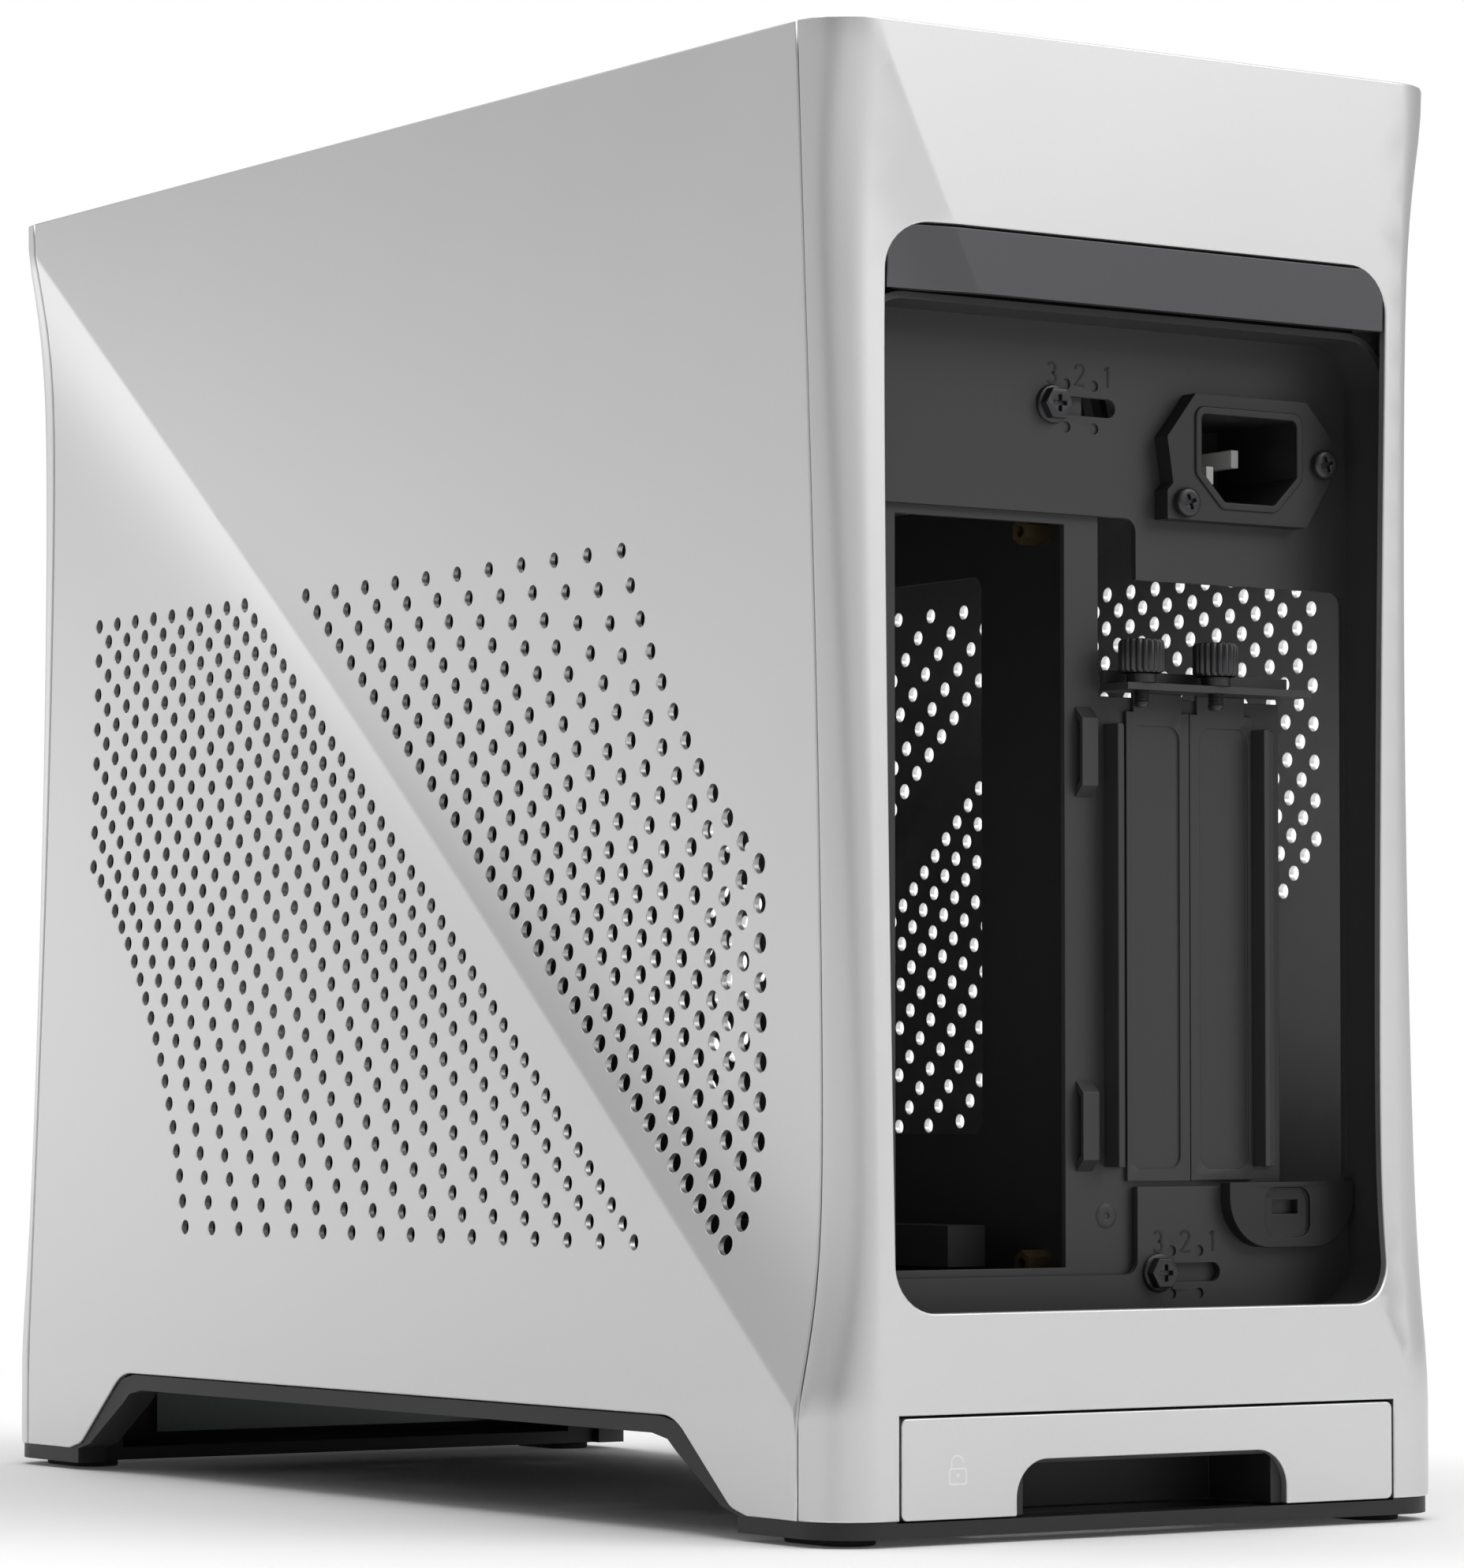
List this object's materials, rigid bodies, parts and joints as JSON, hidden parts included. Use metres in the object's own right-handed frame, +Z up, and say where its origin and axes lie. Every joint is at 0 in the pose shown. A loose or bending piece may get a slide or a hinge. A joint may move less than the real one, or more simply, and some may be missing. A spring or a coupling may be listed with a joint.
{
  "type": "mini tower computer case",
  "caption": "Mini tower computer case: sculpted silver aluminium panels with perforated sides over a black steel frame, a sliding spine, base fans and a pull-out lock drawer.",
  "frame": {"origin": "on the floor under the middle of the case", "axes": "+Z up, +Y towards the rear face with the sockets, +X towards the side panel over the motherboard bay"},
  "size_m": [0.165, 0.366, 0.314],
  "materials": {
    "anodised_silver": "fine bead-blasted silver anodising",
    "strip_dark": "dark grey anodising",
    "black_steel": "fine textured black powder coat",
    "black_plastic": "moulded matt black",
    "fan_plastic": "satin black",
    "rubber_feet": "soft black",
    "black_screw": "black oxide",
    "bright_metal": "nickel plated",
    "brass": "brass standoffs",
    "cable_black": "black cable sheath",
    "circuit_board": "dark green solder mask"
  },
  "bodies": {
    "chassis": {"foot_pads": "rubber_feet", "base_skirt": "black_plastic", "base_floor": "black_steel", "rear_frame": "black_steel", "front_frame": "black_steel", "top_frame": "black_steel", "frame_rivets": "bright_metal", "rear_shell": "anodised_silver", "front_shell": "anodised_silver", "rear_fascia": "strip_dark", "top_filter": "black_plastic", "security_tab": "black_plastic", "power_inlet": "black_plastic", "inlet_pins": "bright_metal", "inlet_screws": "black_screw", "power_lead": "cable_black", "power_lead_plug": "cable_black", "fan_frame_front": "fan_plastic", "fan_frame_rear": "fan_plastic", "fan_screws": "black_screw", "button_switch": "black_plastic", "front_io_board": "circuit_board", "usb_a_ports": "bright_metal", "usb_c_port": "bright_metal", "audio_jack": "black_plastic"},
    "spine": {"spine_tray": "black_steel", "spine_rear_plate": "black_steel", "spine_front_plate": "black_steel", "tie_loops": "black_steel", "slot_guides": "black_steel", "slot_retainer": "black_steel", "slot_cover_inner": "black_steel", "slot_cover_outer": "black_steel", "board_standoffs": "brass", "riser_plug": "black_plastic", "riser_ribbon": "cable_black", "riser_socket": "black_plastic", "adjust_screw_top": "black_screw", "adjust_screw_bottom": "black_screw", "guide_screws": "black_screw", "psu_bracket": "black_steel"},
    "panel_right": {"side_panel_right": "anodised_silver", "panel_studs_right": "bright_metal"},
    "panel_left": {"side_panel_left": "anodised_silver", "panel_studs_left": "bright_metal"},
    "top_cover": {"top_panel": "anodised_silver", "top_panel_pegs": "black_plastic"},
    "lock_drawer": {"lock_tray": "black_plastic", "lock_fascia": "anodised_silver"},
    "button": {"power_button": "anodised_silver"},
    "rotor_front": {"fan_rotor_front": "fan_plastic"},
    "rotor_rear": {"fan_rotor_rear": "fan_plastic"},
    "thumb_inner": {"thumb_screw_inner": "black_screw"},
    "thumb_outer": {"thumb_screw_outer": "black_screw"}
  },
  "joints": [
    {"name": "panel_right_slide", "type": "slide", "parent": "chassis", "child": "panel_right", "axis": [1, 0, 0], "range_m": [0, 0.06]},
    {"name": "panel_left_slide", "type": "slide", "parent": "chassis", "child": "panel_left", "axis": [-1, 0, 0], "range_m": [0, 0.06]},
    {"name": "top_cover_lift", "type": "slide", "parent": "chassis", "child": "top_cover", "axis": [0, 0, 1], "range_m": [0, 0.04]},
    {"name": "spine_slide", "type": "slide", "parent": "chassis", "child": "spine", "axis": [-1, 0, 0], "range_m": [0, 0.015]},
    {"name": "thumb_inner_turn", "type": "hinge", "parent": "spine", "child": "thumb_inner", "pos_m": [-0.0081, 0.169, 0.185], "axis": [0, 0, 1], "continuous": true},
    {"name": "thumb_outer_turn", "type": "hinge", "parent": "spine", "child": "thumb_outer", "pos_m": [-0.0284, 0.169, 0.185], "axis": [0, 0, 1], "continuous": true},
    {"name": "rotor_front_spin", "type": "hinge", "parent": "chassis", "child": "rotor_front", "pos_m": [0, -0.0605, 0.035], "axis": [0, 0, 1], "continuous": true},
    {"name": "rotor_rear_spin", "type": "hinge", "parent": "chassis", "child": "rotor_rear", "pos_m": [0, 0.0605, 0.035], "axis": [0, 0, 1], "continuous": true},
    {"name": "lock_drawer_slide", "type": "slide", "parent": "chassis", "child": "lock_drawer", "axis": [0, 1, 0], "range_m": [0, 0.014]},
    {"name": "button_press", "type": "slide", "parent": "chassis", "child": "button", "axis": [0, 1, 0], "range_m": [0, 0.001], "stiffness_N_per_m": 1000, "springref_m": -0.002}
  ]
}
